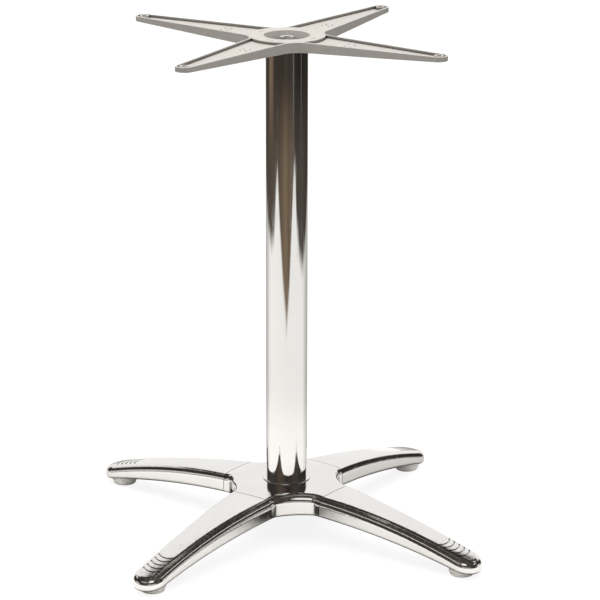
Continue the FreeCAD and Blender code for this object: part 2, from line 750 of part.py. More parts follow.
def make_foot_stem(name, angle):
    """The foot's threaded stem with a pointed end."""
    stem = cylinder(name + "_rod", "Dims.stem_radius",
                    "Dims.stem_socket + Dims.stem_rise - Dims.stem_point",
                    up="Dims.foot_height - Dims.stem_socket")
    point = cone(name + "_point", "Dims.stem_radius", "Dims.stem_radius - Dims.stem_point",
                 "Dims.stem_point", up="Worked.foot_thread_top - Dims.stem_point")
    whole = fuse(name, [stem, point])
    whole.Placement = seat_foot(angle)
    return whole


# Spider: a cast cross with channelled arms. It is drawn with its arms along X and Y.

def arm_tip(radius, side):
    return (f"Dims.arm_tip_centre + ({radius}) * sin(Dims.arm_taper)",
            f"{side}({radius}) * cos(Dims.arm_taper)")


def spider_outline(sketch):
    corners = []
    bends = {}
    for arm in range(LOBES):
        angle = arm * LOBE_STEP
        near = "Worked.valley_centre - Dims.arm_valley_round * sin(Dims.arm_taper)"
        far = "Worked.valley_centre - Dims.arm_valley_round * cos(Dims.arm_taper)"
        for point in (arm_tip("Dims.arm_tip_radius", "-"), arm_tip("Dims.arm_tip_radius", ""),
                      (near, far), (far, near)):
            corners.append(turned(*point, angle))
        bends[4 * arm] = ("Dims.arm_tip_radius", 1)
        bends[4 * arm + 2] = ("Dims.arm_valley_round", -1)
    return draw_outline(sketch, corners, bends)


def channel_outline(sketch):
    """The sunk floor of one arm, from the middle plateau to the tip's rim."""
    inner = "(Dims.arm_tip_radius - Dims.arm_rim)"
    meet = ("((90 - Dims.arm_taper) * 1 deg"
            " - acos((Worked.arm_line - Dims.arm_rim) / Dims.plateau_radius))")
    corners = [arm_tip(inner, "-"), arm_tip(inner, ""),
               (f"Dims.plateau_radius * cos({meet})", f"Dims.plateau_radius * sin({meet})"),
               (f"Dims.plateau_radius * cos({meet})", f"-Dims.plateau_radius * sin({meet})")]
    return draw_outline(sketch, corners, {0: (inner, 1), 2: ("Dims.plateau_radius", -1)})


def make_spider():
    body = new_body("spider")
    plan = new_sketch(body, "spider_plan", "XY_Plane", "Worked.spider_seat")
    spider_outline(plan)
    block = pad(body, plan, "spider_block", "Dims.spider_hub_depth")

    def top_edge(edge):
        box = edge.BoundBox
        return box.ZLength < TINY and box.ZMin > size("Dims.total_height") - TINY

    round_edges(body, "spider_edge_round", block, "Dims.spider_edge_round", top_edge)

    # the underside rises from the middle to the tips
    under = new_sketch(body, "spider_under_line", "XZ_Plane")
    tip_under = "Dims.total_height - Dims.spider_tip_depth"
    reach = "Worked.spider_reach + Dims.cut_margin"
    below = "Worked.spider_seat - Dims.cut_margin"
    draw_outline(under, [("Dims.spider_flat_radius", "Worked.spider_seat"), (reach, tip_under),
                         (reach, below), ("Dims.spider_flat_radius", below)], {})
    turn_round(body, under, "spider_under", "Groove", "V_Axis")

    # spigot into the column
    spigot = new_sketch(body, "spider_spigot_plan", "XY_Plane",
                        "Worked.spider_seat - Dims.spigot_length")
    draw_circle(spigot, "Worked.spigot_radius")
    pad(body, spigot, "spider_spigot", "Dims.spigot_length + Dims.cut_margin")

    # round recess for the nut, and the rod's hole
    recess = new_sketch(body, "spider_recess_line", "XZ_Plane")
    above = "Dims.total_height + Dims.cut_margin"
    draw_outline(recess, [("0", "Worked.recess_floor"),
                          ("Dims.recess_floor_radius", "Worked.recess_floor"),
                          ("Dims.recess_radius", "Dims.total_height"),
                          ("Dims.recess_radius", above), ("0", above)], {})
    turn_round(body, recess, "spider_recess", "Groove", "V_Axis")
    bore = new_sketch(body, "spider_bore_plan", "XY_Plane", "Dims.total_height")
    draw_circle(bore, "Dims.rod_radius + Dims.rod_clearance")
    pocket(body, bore, "spider_bore", both=True)

    # channel, table screw hole and pilot marks of one arm, then the other arms
    channel = new_sketch(body, "arm_channel_plan", "XY_Plane", "Dims.total_height")
    channel_outline(channel)
    draw_circle(channel, "Dims.table_boss_radius", "Dims.arm_tip_centre")
    sunk = pocket(body, channel, "arm_channel", "Dims.channel_depth")
    repeat_round(body, "arm_channels", sunk, LOBES)
    hole = new_sketch(body, "table_hole_plan", "XY_Plane", "Dims.total_height")
    draw_circle(hole, "Dims.table_hole_radius", "Dims.arm_tip_centre")
    drilled = pocket(body, hole, "table_hole", "Dims.spider_hub_depth")
    repeat_round(body, "table_holes", drilled, LOBES)
    marks = new_sketch(body, "pilot_plan", "XY_Plane", "Dims.total_height - Dims.channel_depth")
    for along in ("-", "+"):
        for side in ("-", ""):
            draw_circle(marks, "Dims.pilot_radius", f"Dims.pilot_place {along} Dims.pilot_spread",
                        f"{side}Dims.pilot_spread")
    pierced = pocket(body, marks, "pilot_marks", "Dims.pilot_depth")
    repeat_round(body, "pilot_mark_circle", pierced, LOBES)
    dots = new_sketch(body, "hub_pilot_plan", "XY_Plane", "Dims.total_height")
    for step in (-1, 0, 1):
        draw_circle(dots, "Dims.hub_pilot_radius", "Dims.hub_pilot_place",
                    f"{step} * Dims.hub_pilot_pitch")
    drilled_dots = pocket(body, dots, "hub_pilots", "Dims.pilot_depth")
    repeat_round(body, "hub_pilot_circle", drilled_dots, LOBES)
    body.Placement = turn(size("Dims.first_leg_angle + Dims.spider_turn"))
    return body


def make_rod():
    """The long rod that clamps spider, column and hub together."""
    foot = "Worked.nut_bottom - Dims.rod_end_past_nut"
    head = "Dims.total_height - Dims.rod_end_below_top"
    point = "Dims.rod_radius - Dims.rod_point"
    shank = cylinder("tie_rod_shank", "Dims.rod_radius",
                     f"{head} - ({foot}) - 2 * Dims.rod_point", up=f"{foot} + Dims.rod_point")
    lower = cone("tie_rod_foot", point, "Dims.rod_radius", "Dims.rod_point", up=foot)
    upper = cone("tie_rod_head", "Dims.rod_radius", point, "Dims.rod_point",
                 up=f"{head} - Dims.rod_point")
    return fuse("tie_rod", [lower, shank, upper])


def make_rod_washer(name, up):
    return ring(name, "Dims.washer_radius", "Dims.rod_radius + Dims.rod_clearance",
                "Dims.washer_thickness", up=up)


kept = [make_spider(), make_hub(), make_rod()]
kept.append(ring("column_tube", "Dims.column_radius", "Worked.tube_bore",
                 "Worked.spider_seat - Worked.column_seat", up="Worked.column_seat"))
kept.append(make_rod_washer("top_washer", "Worked.recess_floor"))
kept.append(nut("top_nut", "Worked.recess_floor + Dims.washer_thickness"))
kept.append(make_rod_washer("bottom_washer", "Worked.boss_bottom - Dims.washer_thickness"))
kept.append(nut("bottom_nut", "Worked.nut_bottom"))

LEGS = ["front_right", "back_right", "back_left", "front_left"]
for order, corner in enumerate(LEGS):
    heading = size("Dims.first_leg_angle") + order * LOBE_STEP
    kept.append(make_leg("leg_" + corner, heading))
    for letter, side in (("a", -1), ("b", 1)):
        kept.append(make_screw(f"leg_screw_{corner}_{letter}", heading, side))
        kept.append(make_screw_washer(f"leg_washer_{corner}_{letter}", heading, side))
    kept.append(make_foot_pad("foot_pad_" + corner, heading))
    kept.append(make_foot_stem("foot_stem_" + corner, heading))

doc.recompute()
for item in doc.Objects:
    if "Invalid" in item.State or "Error" in item.State:
        raise RuntimeError(f"{item.Name} did not build: {item.State}")
for item in kept:
    if item.Shape.isNull() or not item.Shape.isValid() or len(item.Shape.Solids) != 1:
        raise RuntimeError(f"{item.Label} is not one sound solid")

os.makedirs("parts", exist_ok=True)
for item in kept:
    item.Shape.exportStep(f"parts/{item.Label}.step")
    box = item.Shape.BoundBox
    print(f"{item.Label}: {item.Shape.Volume / 1000:.1f} cm3,"
          f" z {box.ZMin:.1f} to {box.ZMax:.1f}, reach {max(abs(box.XMin), box.XMax):.1f}")
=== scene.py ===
# %% [markdown]
# # A four star table base
# The base is a mirror-bright column on four polished cast legs, with a grey cast spider on top that
# takes the table. The shapes come ready made from the CAD model. What this lesson adds is the
# finish of each metal and the studio that the metal mirrors, because a polished part has almost no
# colour of its own.

# %% Load the frame
import math

import bpy
from mathutils import Matrix, Vector

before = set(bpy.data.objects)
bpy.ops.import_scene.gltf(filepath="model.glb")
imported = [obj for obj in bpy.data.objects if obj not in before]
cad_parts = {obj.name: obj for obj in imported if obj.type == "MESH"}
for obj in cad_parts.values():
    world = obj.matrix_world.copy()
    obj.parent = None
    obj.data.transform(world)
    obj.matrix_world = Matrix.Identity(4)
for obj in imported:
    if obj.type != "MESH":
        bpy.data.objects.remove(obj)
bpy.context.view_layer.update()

# %% [markdown]
# ## Camera
# The photograph was taken with a long lens from a standing height, a little left of the column.
# A long lens keeps the column's sides nearly parallel. The camera could be aimed by a constraint,
# but three plain rotations say exactly where it points: a turn about the vertical, a tilt up from
# straight down, and a touch of roll.

# %% Camera
CAMERA_SIDE = math.radians(-8.07)
CAMERA_DISTANCE = 4.0314
CAMERA_HEIGHT = 1.5559
CAMERA_TURN, CAMERA_TILT, CAMERA_ROLL = -8.34, 73.28, 0.13
FOCAL_LENGTH, SENSOR_WIDTH = 176.76, 36.0

lens = bpy.data.cameras.new("long_lens")
lens.lens, lens.sensor_width = FOCAL_LENGTH, SENSOR_WIDTH
camera = bpy.data.objects.new("camera", lens)
bpy.context.collection.objects.link(camera)
rightward = math.sin(CAMERA_SIDE) * CAMERA_DISTANCE
backward = -math.cos(CAMERA_SIDE) * CAMERA_DISTANCE
place = Vector((rightward, backward, CAMERA_HEIGHT))
aim = (
    Matrix.Rotation(math.radians(CAMERA_TURN), 4, "Z")
    @ Matrix.Rotation(math.radians(CAMERA_TILT), 4, "X")
    @ Matrix.Rotation(math.radians(CAMERA_ROLL), 4, "Z")
)
camera.matrix_world = Matrix.Translation(place) @ aim
bpy.context.scene.camera = camera
bpy.context.scene.view_settings.view_transform = "Standard"
print("camera at", [round(v, 3) for v in place])

# %% [markdown]
# ## Helpers for nodes
# Every finish here is a small tree of nodes. Making a node, setting it and wiring it take three
# lines each, so one helper does all three: a value that is a socket is wired, any other is typed
# in. Three more make the nodes that come up most: arithmetic, a colour ramp and a blend of two
# colours.

# %% Node helpers
MIX_FACTOR, MIX_FIRST, MIX_SECOND, MIX_RESULT = 0, 6, 7, 2


def add(tree, kind, inputs=None, **settings):
    made = tree.nodes.new(kind)
    for name, value in settings.items():
        setattr(made, name, value)
    for name, value in (inputs or {}).items():
        if isinstance(value, bpy.types.NodeSocket):
            tree.links.new(value, made.inputs[name])
        else:
            made.inputs[name].default_value = value
    return made


def maths(tree, operation, *values):
    made = add(tree, "ShaderNodeMath", dict(enumerate(values)), operation=operation)
    return made.outputs[0]


def ramp(tree, factor, stops):
    """A colour for each place along the factor, which is a triple, or one number for a grey."""
    made = add(tree, "ShaderNodeValToRGB", {"Fac": factor})
    while len(made.color_ramp.elements) < len(stops):
        made.color_ramp.elements.new(0.5)
    for element, (position, colour) in zip(made.color_ramp.elements, stops):
        element.position = position
        element.color = (*colour, 1) if isinstance(colour, tuple) else (colour, colour, colour, 1)
    return made.outputs["Color"]


def blend_colours(tree, factor, first, second):
    """The first colour where the factor is 0 and the second where it is 1."""
    made = add(tree, "ShaderNodeMix", data_type="RGBA")
    for slot, value in ((MIX_FACTOR, factor), (MIX_FIRST, first), (MIX_SECOND, second)):
        if isinstance(value, bpy.types.NodeSocket):
            tree.links.new(value, made.inputs[slot])
        else:
            made.inputs[slot].default_value = (*value, 1) if isinstance(value, tuple) else value
    return made.outputs[MIX_RESULT]


print("node helpers ready")

# %% [markdown]
# A soft step is the other shape that nearly everything here is made of: the edge of a light, the
# end of a sheet of paper, the rim of a shadow. Map Range with smooth ends gives it in one node.


# %% Soft step
def soft_step(tree, value, low, high):
    """0 below low and 1 above high, or the other way round where low is the larger."""
    made = add(
        tree,
        "ShaderNodeMapRange",
        {"Value": value, "From Min": low, "From Max": high},
        interpolation_type="SMOOTHSTEP",
    )
    return made.outputs[0]


print("soft step ready")

# %% [markdown]
# ## The studio round the metal
# Chrome shows the room. Here the room is a white paper wall behind the base, low boards at the
# sides and in front, narrow lights higher up, and an unlit brown room between them. An image of a
# room could be wrapped round the scene, but a few nodes that follow the ray's direction do it with
# no file. A bearing is measured in degrees right of where the camera looks, and a height as the
# sine of its angle, which is simply the Z of the direction.

# %% Where a ray points
CAMERA_LOOKS = math.radians(-CAMERA_TURN)
JUST_OVER_ONE = 1.0001  # keeps the level part of a ray that points straight up above zero

room = bpy.data.worlds.new("studio_room")
bpy.context.scene.world = room
room.use_nodes = True
tree = room.node_tree
tree.nodes.clear()
look = add(tree, "ShaderNodeTexCoord")
across, depth, height = add(tree, "ShaderNodeSeparateXYZ", {0: look.outputs["Generated"]}).outputs
height_squared = maths(tree, "MULTIPLY", height, height)
level = maths(tree, "SQRT", maths(tree, "SUBTRACT", JUST_OVER_ONE, height_squared))


def part_along(tree, degrees):
    """How much of the ray runs along a bearing."""
    way = CAMERA_LOOKS + math.radians(degrees)
    eastward = maths(tree, "MULTIPLY", across, math.sin(way))
    return maths(tree, "ADD", eastward, maths(tree, "MULTIPLY", depth, math.cos(way)))


print("the camera looks", round(math.degrees(CAMERA_LOOKS), 1), "degrees right of +Y")

# %% [markdown]
# The unlit room isn't one brown: it is warmer at the left and the right of the camera. A noise
# would vary it too, but a ramp over the turn of the ray puts each brown at its own bearing. It
# begins at the camera's side of the base, goes round by the left, the wall and the right, and ends
# where it began.

# %% The unlit room
ROOM_ROUND = [
    (0.00, (0.022, 0.018, 0.015)),
    (0.12, (0.085, 0.065, 0.050)),
    (0.22, (0.030, 0.026, 0.023)),
    (0.50, (0.035, 0.031, 0.028)),
    (0.76, (0.024, 0.021, 0.020)),
    (0.90, (0.060, 0.048, 0.038)),
    (1.00, (0.022, 0.018, 0.015)),
]


def as_turn(tree, angle):
    """An angle in radians, from -pi to pi, as a share of a turn from 0 to 1."""
    return maths(tree, "ADD", maths(tree, "DIVIDE", angle, 2 * math.pi), 0.5)


turn = as_turn(tree, maths(tree, "ARCTAN2", across, depth))
seen_in_metal = ramp(tree, turn, ROOM_ROUND)
print("browns round the room:", len(ROOM_ROUND))

# %% [markdown]
# Each light or board is one patch of that room: the product of a soft step on the bearing, as the
# cosine of the angle from the patch's middle, and two on the height. Area lamps could stand there
# instead, but they would light the matt parts too, and these patches are for the metal alone. The
# top edge of the paper wall leans to one side. The hub and the legs' tops look up, so it shows in
# them.

# %% The lit patches
SIDE_SOFTNESS = 0.03
PAPER_WHITE = (0.94, 0.93, 0.92)
STRIP_WHITE = (0.88, 0.87, 0.85)
# name, middle and half width in degrees, lowest and highest sine, softness, lean, colour
PATCHES = [
    ("paper wall", 0, 40, -1.1, 0.650, 0.012, 0.21, PAPER_WHITE),
    ("wall's right wing", 42, 8, 0.44, 0.55, 0.02, 0.0, PAPER_WHITE),
    ("wall's left wing", -50, 12, 0.46, 0.60, 0.02, 0.0, PAPER_WHITE),
    ("low board on the right", 80, 13, -0.10, 0.24, 0.03, 0.0, (0.80, 0.79, 0.77)),
    ("low board on the left", -92, 15, 0.03, 0.25, 0.03, 0.0, (0.62, 0.61, 0.59)),
    ("low board in front", 172, 26, 0.03, 0.21, 0.03, 0.0, (0.50, 0.49, 0.48)),
    ("left strip", -132, 20, 0.56, 0.64, 0.02, 0.0, STRIP_WHITE),
    ("right strip", 90, 14, 0.56, 0.63, 0.02, 0.0, STRIP_WHITE),
    ("high window", 59, 9, 0.66, 0.76, 0.02, 0.0, (0.90, 0.89, 0.87)),
    ("light above the camera", 178, 17, 0.52, 0.82, 0.03, 0.0, (1.00, 0.99, 0.97)),
]


def lit_patch(tree, middle, half_width, low, high, soft, lean):
    cosine = maths(tree, "DIVIDE", part_along(tree, middle), level)
    edge = math.cos(math.radians(half_width))
    side = soft_step(tree, cosine, edge - SIDE_SOFTNESS, edge + SIDE_SOFTNESS)
    lower = soft_step(tree, height, low - soft, low + soft)
    rise = maths(tree, "MULTIPLY", part_along(tree, middle + 90), lean)
    upper = soft_step(tree, maths(tree, "ADD", height, rise), high + soft, high - soft)
    return maths(tree, "MULTIPLY", side, maths(tree, "MULTIPLY", lower, upper))


for name, *shape, colour in PATCHES:
    seen_in_metal = blend_colours(tree, lit_patch(tree, *shape), seen_in_metal, colour)
    print(name, "is", 2 * shape[1], "degrees wide")

# %% [markdown]
# Matt surfaces don't show the room, they add it up. For them the room is one soft dome, brighter
# overhead than at the horizon, so that the spider's top comes out lighter than its sides. The
# camera itself sees plain white. One background could serve all three, but the metal needs dark
# corners and the casting doesn't. Light Path tells the kinds of ray apart.

# %% The room by kind of ray
DOME_BY_HEIGHT = [
    (0.00, (0.04, 0.0395, 0.039)),
    (0.45, (0.50, 0.495, 0.485)),
    (1.00, (2.22, 2.20, 2.15)),
]
dome = ramp(tree, height, DOME_BY_HEIGHT)
mirrored = add(tree, "ShaderNodeBackground", {"Color": seen_in_metal, "Strength": 1.0}).outputs[0]
soft_light = add(tree, "ShaderNodeBackground", {"Color": dome, "Strength": 1.0}).outputs[0]
white = add(tree, "ShaderNodeBackground", {"Color": (1, 1, 1, 1), "Strength": 1.0}).outputs[0]
path = add(tree, "ShaderNodeLightPath").outputs
to_parts = add(
    tree, "ShaderNodeMixShader", {0: path["Is Glossy Ray"], 1: soft_light, 2: mirrored}
).outputs[0]
to_all = add(tree, "ShaderNodeMixShader", {0: path["Is Camera Ray"], 1: to_parts, 2: white})
add(tree, "ShaderNodeOutputWorld", {0: to_all.outputs[0]})
print("room nodes:", len(tree.nodes))

# %% [markdown]
# ## The paper floor
# The base stands on a sheet of white paper, and beyond its edge lie the dark boards of the room.
# Both show in the column, where the edge of the paper draws the bright spikes. So the reach of the
# paper is written as a curve over the bearing and was read off those spikes: a point that shows at
# height z on the column lies z / tan(pitch) away. Behind the base the paper runs on to the wall.
# The sheet could be a mesh cut to that outline, but a mask in the floor's material keeps its edge
# soft. On the floor a bearing of 0 points at the camera, and right of it is positive.

# %% Where the paper ends
FLOOR_RADIUS = 9.0
PAPER_EDGE = (-0.10, 0.14)  # metres short of the reach and beyond it
FLOOR_REACH = [
    (-180, 9.0), (-160, 9.0), (-153, 2.1), (-125, 1.70), (-92, 1.55), (-72, 1.62),
    (-60, 2.00), (-52, 2.18), (-40, 1.75), (-20, 1.30), (0, 1.02), (14, 1.26),
    (28, 1.75), (38, 2.16), (45, 2.20), (55, 1.72), (75, 1.46), (97, 1.38),
    (125, 1.60), (153, 2.1), (160, 9.0), (180, 9.0),
]

bpy.ops.mesh.primitive_circle_add(vertices=96, radius=FLOOR_RADIUS, fill_type="NGON")
floor = bpy.context.object
floor.name = "paper_floor"
paper = bpy.data.materials.new("white_paper")
paper.use_nodes = True
floor.data.materials.append(paper)
tree = paper.node_tree
tree.nodes.clear()
on_floor = add(tree, "ShaderNodeTexCoord").outputs["Object"]
turned = add(
    tree,
    "ShaderNodeVectorRotate",
    {"Vector": on_floor, "Angle": -CAMERA_SIDE},
    rotation_type="Z_AXIS",
).outputs[0]
to_right, away, _ = add(tree, "ShaderNodeSeparateXYZ", {0: turned}).outputs
turn = as_turn(tree, maths(tree, "ARCTAN2", to_right, maths(tree, "MULTIPLY", away, -1.0)))


def by_bearing(tree, turn, stops):
    return ramp(tree, turn, [((degrees + 180) / 360, value) for degrees, value in stops])


reach_shares = [(degrees, metres / FLOOR_RADIUS) for degrees, metres in FLOOR_REACH]
reach = maths(tree, "MULTIPLY", by_bearing(tree, turn, reach_shares), FLOOR_RADIUS)
distance = add(tree, "ShaderNodeVectorMath", {0: on_floor}, operation="LENGTH").outputs["Value"]
bare = soft_step(tree, maths(tree, "SUBTRACT", distance, reach), *PAPER_EDGE)
nearest = min(metres for degrees, metres in FLOOR_REACH)
print("the paper ends between", nearest, "m away and the floor's edge")

# %% [markdown]
# The boards are brown near the paper and nearly black far off, with a few painted streaks of light
# from what stands there. Both kinds change over the bearing, so each is a ramp, and the distance
# blends one into the other.

# %% Boards
NEAR_BOARDS = [
    (-180, (0.050, 0.042, 0.035)), (-100, (0.060, 0.048, 0.038)), (-70, (0.070, 0.055, 0.043)),
    (-45, (0.075, 0.058, 0.044)), (-30, (0.094, 0.070, 0.050)), (-8, (0.152, 0.110, 0.074)),
    (2, (0.138, 0.100, 0.067)), (6, (0.104, 0.077, 0.054)), (20, (0.118, 0.088, 0.062)),
    (32, (0.090, 0.072, 0.058)), (50, (0.045, 0.038, 0.033)), (90, (0.060, 0.050, 0.042)),
    (130, (0.035, 0.030, 0.027)), (180, (0.050, 0.042, 0.035)),
]
# the narrow bright stops near 37 and 83 degrees are painted streaks of light on the boards
FAR_BOARDS = [
    (-180, (0.030, 0.026, 0.022)), (-114, (0.045, 0.034, 0.027)), (-104, (0.165, 0.115, 0.080)),
    (-84, (0.130, 0.090, 0.066)), (-72, (0.034, 0.028, 0.024)), (-40, (0.030, 0.026, 0.023)),
    (-32, (0.030, 0.025, 0.021)), (4, (0.036, 0.029, 0.025)), (12, (0.030, 0.025, 0.022)),
    (34, (0.042, 0.036, 0.032)), (37, (0.190, 0.178, 0.165)), (40, (0.020, 0.018, 0.017)),
    (80, (0.014, 0.013, 0.013)), (83, (0.150, 0.148, 0.145)), (86, (0.014, 0.013, 0.013)),
    (180, (0.030, 0.026, 0.022)),
]
BOARDS_CHANGE = (2.1, 3.3)  # metres from the column
near_boards = by_bearing(tree, turn, NEAR_BOARDS)
far_boards = by_bearing(tree, turn, FAR_BOARDS)
far_off = soft_step(tree, distance, *BOARDS_CHANGE)
boards = blend_colours(tree, far_off, near_boards, far_boards)
print("board colours:", len(NEAR_BOARDS) + len(FAR_BOARDS))

# %% [markdown]
# The paper is brightest under the light and falls off with the distance, and more so towards the
# wall at both sides of the base. That light is painted into the paper's colour: one tone for a
# bearing near the base and one for farther off carry it.

# %% Paper tones
# painted light: the paper's tones fall off with the distance and towards the sides
BRIGHT_PAPER = (0.82, 0.81, 0.80)
NEAR_PAPER = [
    (-180, BRIGHT_PAPER), (-166, BRIGHT_PAPER), (-158, (0.45, 0.445, 0.44)),
    (-135, (0.52, 0.515, 0.51)), (-100, (0.81, 0.80, 0.79)), (95, (0.81, 0.80, 0.79)),
    (130, (0.52, 0.515, 0.51)), (158, (0.45, 0.445, 0.44)), (166, BRIGHT_PAPER),
    (180, BRIGHT_PAPER),
]
FAR_PAPER = [
    (-180, BRIGHT_PAPER), (-166, BRIGHT_PAPER), (-158, (0.32, 0.315, 0.31)),
    (-135, (0.37, 0.365, 0.36)), (-100, (0.67, 0.665, 0.66)), (95, (0.67, 0.665, 0.66)),
    (130, (0.37, 0.365, 0.36)), (158, (0.32, 0.315, 0.31)), (166, BRIGHT_PAPER),
    (180, BRIGHT_PAPER),
]
PAPER_CHANGE = (0.35, 0.70)  # metres from the column
near_paper = by_bearing(tree, turn, NEAR_PAPER)
far_paper = by_bearing(tree, turn, FAR_PAPER)
farther = soft_step(tree, distance, *PAPER_CHANGE)
lit_paper = blend_colours(tree, farther, near_paper, far_paper)
print("paper tones:", len(NEAR_PAPER) + len(FAR_PAPER))

# %% [markdown]
# A base keeps the light off the paper under it, and a polished leg mirrors that dark place in its
# lower side. It could be painted by hand under each leg, but Ambient Occlusion finds how much of
# the sky each point of the floor sees, and so it fits any pose. The whole place between the legs is
# a touch darker as well.

# %% Shade under the base
SHADE_REACH = 0.12
SHADE_COLOUR = (0.06, 0.056, 0.052)
SHADED, IN_THE_OPEN = 0.35, 0.91  # shares of the sky
PLACE_BETWEEN_LEGS = (0.34, 0.24)  # metres from the column
TOUCH_OF_SHADE = 0.09
occlusion = add(tree, "ShaderNodeAmbientOcclusion", {"Distance": SHADE_REACH}, samples=8)
in_the_open = soft_step(tree, occlusion.outputs["AO"], SHADED, IN_THE_OPEN)
between_legs = soft_step(tree, distance, *PLACE_BETWEEN_LEGS)
touch = maths(tree, "MULTIPLY", between_legs, TOUCH_OF_SHADE)
toned_paper = blend_colours(tree, touch, lit_paper, (0.0, 0.0, 0.0))
sheet = blend_colours(tree, in_the_open, SHADE_COLOUR, toned_paper)
ground = blend_colours(tree, bare, sheet, boards)
print("the base shades the paper within", SHADE_REACH, "m")

# %% [markdown]
# Three kinds of ray meet the floor. A reflection sees the paper and the boards. Light that
# bounces on to the object sees a pale floor only close to the base, as in a room with dark boards.
# The camera sees a plain pale floor, white by its own colour, which keeps a faint shadow of the
# base.

# %% Floor by kind of ray
BOUNCE_NEAR, BOUNCE_FAR = (0.84, 0.83, 0.81), (0.10, 0.098, 0.095)
BOUNCE_CHANGE = (0.35, 0.60)  # metres from the column
PALE_GREY, PALE_GLOW = (0.20, 0.20, 0.20, 1), 0.86
from_afar = soft_step(tree, distance, *BOUNCE_CHANGE)
bounce = blend_colours(tree, from_afar, BOUNCE_NEAR, BOUNCE_FAR)
in_mirrors = add(tree, "ShaderNodeBsdfDiffuse", {"Color": ground}).outputs[0]
for_light = add(tree, "ShaderNodeBsdfDiffuse", {"Color": bounce}).outputs[0]
pale = add(tree, "ShaderNodeBsdfDiffuse", {"Color": PALE_GREY}).outputs[0]
glow = add(tree, "ShaderNodeEmission", {"Color": (1, 1, 1, 1), "Strength": PALE_GLOW}).outputs[0]
for_camera = add(tree, "ShaderNodeAddShader", {0: pale, 1: glow}).outputs[0]
path = add(tree, "ShaderNodeLightPath").outputs
to_parts = add(
    tree, "ShaderNodeMixShader", {0: path["Is Diffuse Ray"], 1: in_mirrors, 2: for_light}
).outputs[0]
to_all = add(tree, "ShaderNodeMixShader", {0: path["Is Camera Ray"], 1: to_parts, 2: for_camera})
add(tree, "ShaderNodeOutputMaterial", {"Surface": to_all.outputs[0]})
print("floor nodes:", len(tree.nodes))

# %% [markdown]
# ## Lamps
# One broad soft lamp high on the left and a weaker one on the right model the grey casting. A sun
# would give hard shadows, and an area lamp's grow softer with its size. Both are hidden from
# reflections, where the room's own patches stand for them.

# %% Lamps
LAMP_COLOUR = (1.0, 0.985, 0.965)
LAMPS_AIM_AT = Vector((0, 0, 0.4))


def soft_lamp(name, size, power, position):
    light = bpy.data.lights.new(name, "AREA")
    light.size, light.energy, light.color = size, power, LAMP_COLOUR
    lamp = bpy.data.objects.new(name, light)
    bpy.context.collection.objects.link(lamp)
    lamp.location = position
    lamp.rotation_euler = (LAMPS_AIM_AT - lamp.location).to_track_quat("-Z", "Y").to_euler()
    lamp.visible_glossy = False
    print(name, "gives", power, "W")


soft_lamp("high_left", 1.6, 14, (-1.3, 0.5, 2.5))
soft_lamp("high_right", 1.2, 3, (1.6, -1.0, 2.2))

# %% [markdown]
# ## Hair-line scratches
# Everything that has stood in a workshop has a few fine scratches. Drawn as curves they would be
# hundreds of small objects. A noise that is stretched long one way gives them for nothing: where
# it passes a high threshold, a thin streak appears.

# %% Scratches
STRETCH = 0.03
LINE_STARTS, LINE_FULL = 0.60, 0.67
LINE_HEADINGS = (28, -47)


def hair_lines(tree, where, heading, spacing):
    """Sparse long lines over a surface: 1 on a line and 0 beside it."""
    turned = add(
        tree,
        "ShaderNodeVectorRotate",
        {"Vector": where, "Angle": math.radians(heading)},
        rotation_type="Z_AXIS",
    ).outputs[0]
    drawn_out = (1 / spacing, STRETCH / spacing, STRETCH / spacing)
    long_way = add(tree, "ShaderNodeVectorMath", {0: turned, 1: drawn_out}, operation="MULTIPLY")
    pattern = {"Vector": long_way.outputs[0], "Scale": 1.0, "Detail": 1.0}
    noise = add(tree, "ShaderNodeTexNoise", pattern).outputs["Fac"]
    return soft_step(tree, noise, LINE_STARTS, LINE_FULL)


def two_ways(tree, where, spacing):
    """Lines along two headings, the second set a little wider apart."""
    first = hair_lines(tree, where, LINE_HEADINGS[0], spacing)
    second = hair_lines(tree, where, LINE_HEADINGS[1], spacing * 1.4)
    return maths(tree, "MAXIMUM", first, second)


print("scratches run", round(1 / STRETCH), "times as long as wide")

# %% [markdown]
# ## What every finish shares
# Each finish starts from the same things: where the point is, a gloss that wanders in soft clouds,
# because no buffing wheel leaves the same gloss everywhere, and the scratches, which change the
# gloss where they run. A helper makes those, and each finish then adds what is its own.

# %% Finish helpers
def noise_over(tree, where, scale, detail):
    pattern = {"Vector": where, "Scale": scale, "Detail": detail}
    return add(tree, "ShaderNodeTexNoise", pattern).outputs["Fac"]


def start_finish(name, metallic, gloss, cloud_size, scratch_spacing, scratch_change):
    finish = bpy.data.materials.new(name)
    finish.use_nodes = True
    tree = finish.node_tree
    shader = tree.nodes["Principled BSDF"]
    shader.inputs["Metallic"].default_value = metallic
    where = add(tree, "ShaderNodeTexCoord").outputs["Object"]
    clouds = noise_over(tree, where, 1 / cloud_size, 4.0)
    span = {"From Min": 0.35, "From Max": 0.65, "To Min": gloss[0], "To Max": gloss[1]}
    wandering = add(tree, "ShaderNodeMapRange", {"Value": clouds, **span}).outputs[0]
    scratches = two_ways(tree, where, scratch_spacing)
    change = maths(tree, "MULTIPLY", scratches, scratch_change)
    tree.links.new(maths(tree, "ADD", wandering, change), shader.inputs["Roughness"])
    return finish, tree, shader, where, clouds, scratches


def colour_surface(tree, shader, colour):
    tree.links.new(colour, shader.inputs["Base Color"])


def raise_surface(tree, shader, height, depth):
    bump = add(tree, "ShaderNodeBump", {"Height": height, "Distance": depth, "Strength": 1.0})
    tree.links.new(bump.outputs[0], shader.inputs["Normal"])


def openness(tree, reach):
    """1 on open metal, falling towards 0 in a groove or corner narrower than the reach."""
    made = add(
        tree, "ShaderNodeAmbientOcclusion", {"Distance": reach}, samples=6, only_local=True
    )
    return made.outputs["AO"]


def dress(material, pieces):
    for piece in pieces:
        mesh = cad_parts[piece].data
        mesh.materials.clear()
        mesh.materials.append(material)
    print(material.name, "on", len(pieces), "pieces")


print("finish helpers ready")

